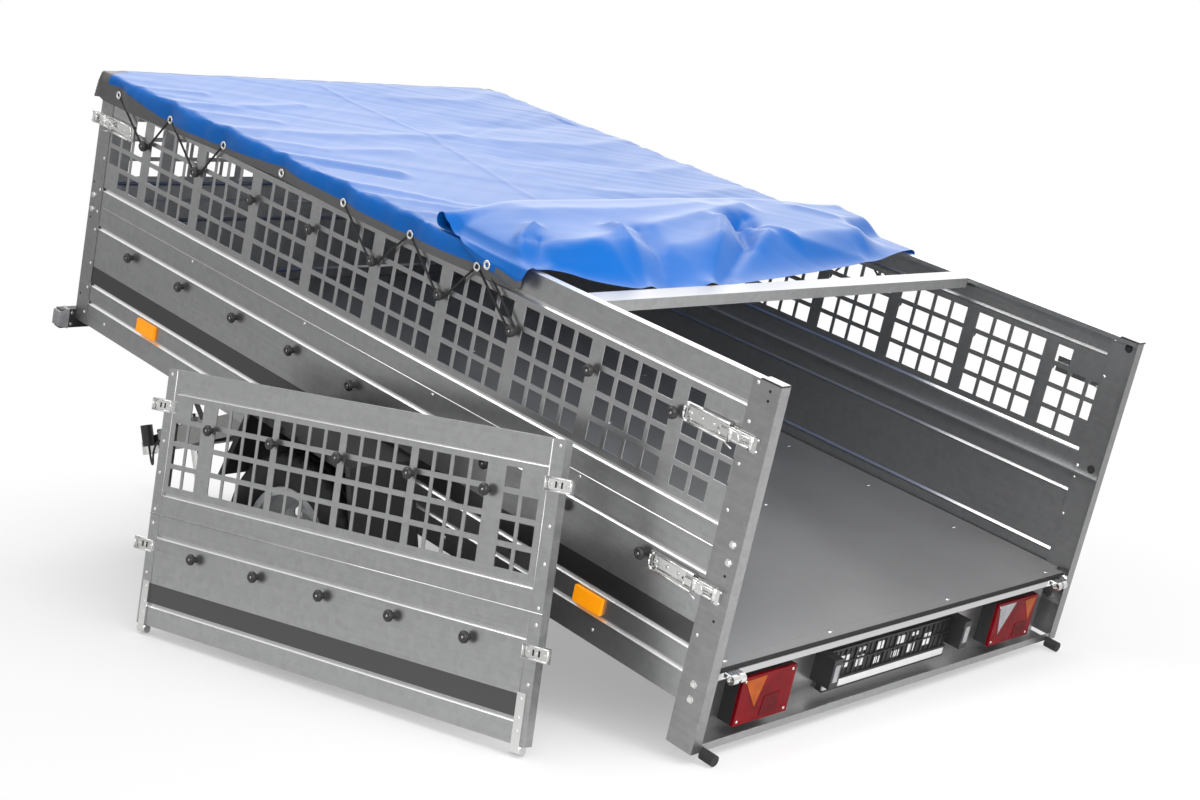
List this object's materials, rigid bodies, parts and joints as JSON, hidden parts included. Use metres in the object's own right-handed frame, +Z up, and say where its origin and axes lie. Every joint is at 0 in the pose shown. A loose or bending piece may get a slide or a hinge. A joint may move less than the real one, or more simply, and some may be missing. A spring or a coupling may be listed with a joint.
{
  "type": "single-axle box trailer with mesh sides",
  "caption": "Single-axle box trailer with mesh sides and a rolled tarp: bed tipped back, drawbar on a prop stand, tailgate lifted off and stood beside the wheel",
  "frame": {"origin": "centre of the tow ball that the coupling takes", "axes": "+X points to the trailer's rear, +Y to its right, +Z up"},
  "size_m": [3.602, 2.1026, 1.5184],
  "materials": {
    "galvanised": "galvanised sheet, dull bright spangle",
    "galvanised_frame": "hot-dip galvanised, matt",
    "bright_steel": "zinc plated, satin",
    "floor": "dark film-faced plywood, satin",
    "tarp": "blue coated fabric with a grey hem, satin",
    "elastic": "black elastic cord",
    "black_plastic": "black, matt",
    "black_rubber": "black rubber",
    "tyre": "black road tyre",
    "rim": "silver grey paint",
    "lens": "red and amber lens, gloss",
    "reflector": "orange reflector, gloss"
  },
  "bodies": {
    "bed": {"side_wall_left": "galvanised", "side_wall_right": "galvanised", "mesh_side_left": "galvanised", "mesh_side_right": "galvanised", "front_wall": "galvanised", "mesh_front": "galvanised", "front_posts": "galvanised", "rear_post_left": "galvanised", "rear_post_right": "galvanised", "rear_sill": "galvanised", "floor_board": "floor", "cross_members": "galvanised_frame", "chassis_members": "galvanised_frame", "tip_lugs": "galvanised_frame", "axle_beam": "galvanised_frame", "rear_lamps": "black_plastic", "lamp_lenses": "lens", "plate_holder": "black_plastic", "buffers": "black_rubber", "gate_sockets": "bright_steel", "latches": "bright_steel", "tarp_knobs": "black_plastic", "side_reflectors": "reflector", "marker_lamps": "black_plastic", "crossbar": "galvanised", "tarp": "tarp", "mudguard_left": "black_plastic", "mudguard_right": "black_plastic", "tie_cord": "elastic"},
    "drawbar": {"drawbar_arms": "galvanised_frame", "drawbar_plates": "galvanised_frame", "coupling_head": "bright_steel", "tow_plug": "black_plastic", "tow_cable": "black_plastic", "clamp_lever": "black_plastic"},
    "handle": {"coupling_handle": "black_plastic"},
    "stand": {"prop_stand": "bright_steel"},
    "wheel_left": {"tyre_left": "tyre", "rim_left": "rim"},
    "wheel_right": {"tyre_right": "tyre", "rim_right": "rim"},
    "tailgate": {"gate_panel": "galvanised", "gate_mesh": "galvanised", "gate_fittings": "bright_steel", "gate_knobs": "black_plastic"}
  },
  "joints": [
    {"name": "tip", "type": "hinge", "parent": "bed", "child": "drawbar", "pos_m": [1.50967, 0, 0.38784], "axis": [0, 1, 0], "range_deg": [0, 27]},
    {"name": "handle_lift", "type": "hinge", "parent": "drawbar", "child": "handle", "pos_m": [0.06913, 0, 0.0783], "axis": [0, -1, 0], "range_deg": [0, 40]},
    {"name": "stand_slide", "type": "slide", "parent": "drawbar", "child": "stand", "axis": [-0.2334, 0, 0.9724], "range_m": [0, 0.18]},
    {"name": "wheel_spin_left", "type": "hinge", "parent": "bed", "child": "wheel_left", "pos_m": [2.09897, 0, 0.12261], "axis": [0, 1, 0], "continuous": true},
    {"name": "wheel_spin_right", "type": "hinge", "parent": "bed", "child": "wheel_right", "pos_m": [2.09897, 0, 0.12261], "axis": [0, 1, 0], "continuous": true},
    {"name": "gate_lift", "type": "slide", "parent": "bed", "child": "tailgate", "axis": [0, 0, 1], "range_m": [0, 0.6]}
  ]
}
